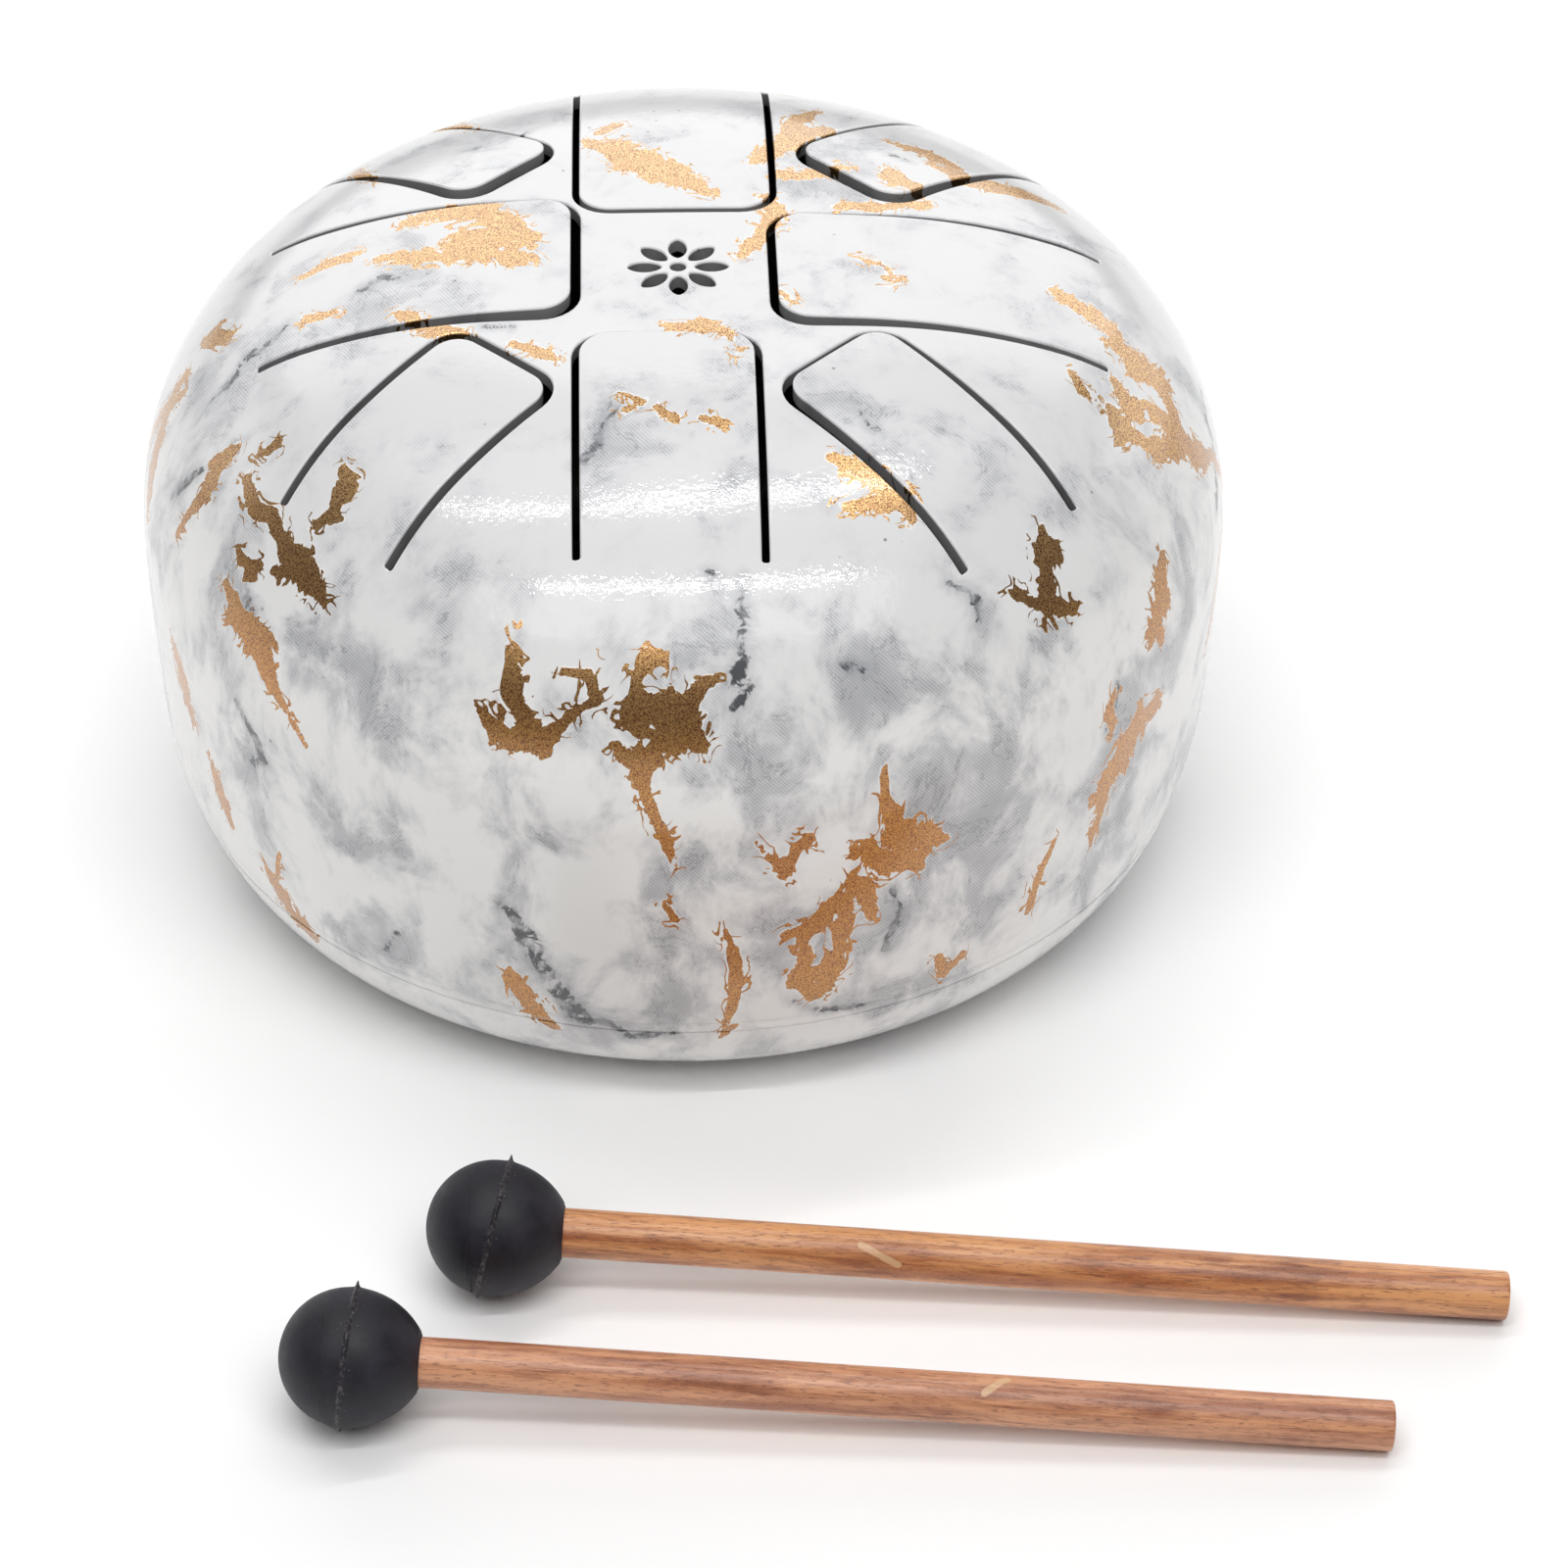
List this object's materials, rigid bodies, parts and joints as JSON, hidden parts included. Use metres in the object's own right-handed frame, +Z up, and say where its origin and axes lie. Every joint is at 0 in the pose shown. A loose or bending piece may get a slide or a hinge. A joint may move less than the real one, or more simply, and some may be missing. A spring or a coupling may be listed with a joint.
{
  "type": "steel tongue drum",
  "caption": "Small round hollow steel drum with tuned tongues cut in its top, played with the pair of rubber-headed wooden mallets beside it.",
  "frame": {"origin": "on the drum's axis at the level of the surface it stands on", "axes": "+Z up along the drum's axis, -Y towards the player and the mallets, +X to the player's right"},
  "size_m": [0.1845, 0.2195, 0.0939],
  "materials": {
    "marbled_enamel": "glossy white enamel with grey marble clouds and gold flakes under clear lacquer",
    "foot_rubber": "matte",
    "mallet_rubber": "matte black moulded rubber",
    "front_stick_wood": "red-brown stain under satin varnish",
    "rear_stick_wood": "yellow-brown stain under satin varnish"
  },
  "bodies": {
    "drum": {"upper_shell": "marbled_enamel", "lower_shell": "marbled_enamel", "seam_weld": "marbled_enamel", "foot_1": "foot_rubber", "foot_2": "foot_rubber", "foot_3": "foot_rubber"},
    "tongue_right": {"tongue_right": "marbled_enamel"},
    "tongue_back_right": {"tongue_back_right": "marbled_enamel"},
    "tongue_back": {"tongue_back": "marbled_enamel"},
    "tongue_back_left": {"tongue_back_left": "marbled_enamel"},
    "tongue_left": {"tongue_left": "marbled_enamel"},
    "tongue_front_left": {"tongue_front_left": "marbled_enamel"},
    "tongue_front": {"tongue_front": "marbled_enamel"},
    "tongue_front_right": {"tongue_front_right": "marbled_enamel"},
    "front_mallet": {"front_mallet_stick": "front_stick_wood", "front_mallet_head": "mallet_rubber"},
    "rear_mallet": {"rear_mallet_stick": "rear_stick_wood", "rear_mallet_head": "mallet_rubber"}
  },
  "joints": [
    {"name": "tongue_right_flex", "type": "hinge", "parent": "drum", "child": "tongue_right", "pos_m": [0.05858, -0.00255, 0.08398], "axis": [0.0434, 0.9991, 0], "range_deg": [-0.6, 0.6], "stiffness_Nm_per_rad": 1.5, "springref_deg": 0.16},
    {"name": "tongue_back_right_flex", "type": "hinge", "parent": "drum", "child": "tongue_back_right", "pos_m": [0.04727, 0.04578, 0.07862], "axis": [-0.6958, 0.7183, 0], "range_deg": [-0.6, 0.6], "stiffness_Nm_per_rad": 1.5, "springref_deg": 0.07},
    {"name": "tongue_back_flex", "type": "hinge", "parent": "drum", "child": "tongue_back", "pos_m": [-0.001, 0.05854, 0.084], "axis": [-0.9999, -0.017, 0], "range_deg": [-0.6, 0.6], "stiffness_Nm_per_rad": 1.5, "springref_deg": 0.16},
    {"name": "tongue_back_left_flex", "type": "hinge", "parent": "drum", "child": "tongue_back_left", "pos_m": [-0.04692, 0.04629, 0.07855], "axis": [-0.7023, -0.7119, 0], "range_deg": [-0.6, 0.6], "stiffness_Nm_per_rad": 1.5, "springref_deg": 0.07},
    {"name": "tongue_left_flex", "type": "hinge", "parent": "drum", "child": "tongue_left", "pos_m": [-0.05838, 0.0007, 0.08408], "axis": [-0.012, -0.9999, 0], "range_deg": [-0.6, 0.6], "stiffness_Nm_per_rad": 1.5, "springref_deg": 0.16},
    {"name": "tongue_front_left_flex", "type": "hinge", "parent": "drum", "child": "tongue_front_left", "pos_m": [-0.04705, -0.04599, 0.07863], "axis": [0.699, -0.7151, 0], "range_deg": [-0.6, 0.6], "stiffness_Nm_per_rad": 1.5, "springref_deg": 0.07},
    {"name": "tongue_front_flex", "type": "hinge", "parent": "drum", "child": "tongue_front", "pos_m": [-0.00265, -0.05917, 0.08368], "axis": [0.999, -0.0447, 0], "range_deg": [-0.6, 0.6], "stiffness_Nm_per_rad": 1.5, "springref_deg": 0.16},
    {"name": "tongue_front_right_flex", "type": "hinge", "parent": "drum", "child": "tongue_front_right", "pos_m": [0.04372, -0.04902, 0.07873], "axis": [0.7463, 0.6657, 0], "range_deg": [-0.6, 0.6], "stiffness_Nm_per_rad": 1.5, "springref_deg": 0.07},
    {"name": "front_mallet_lift", "type": "slide", "parent": "drum", "child": "front_mallet", "axis": [0, 0, 1], "range_m": [0, 0.12]},
    {"name": "rear_mallet_lift", "type": "slide", "parent": "drum", "child": "rear_mallet", "axis": [0, 0, 1], "range_m": [0, 0.12]}
  ]
}
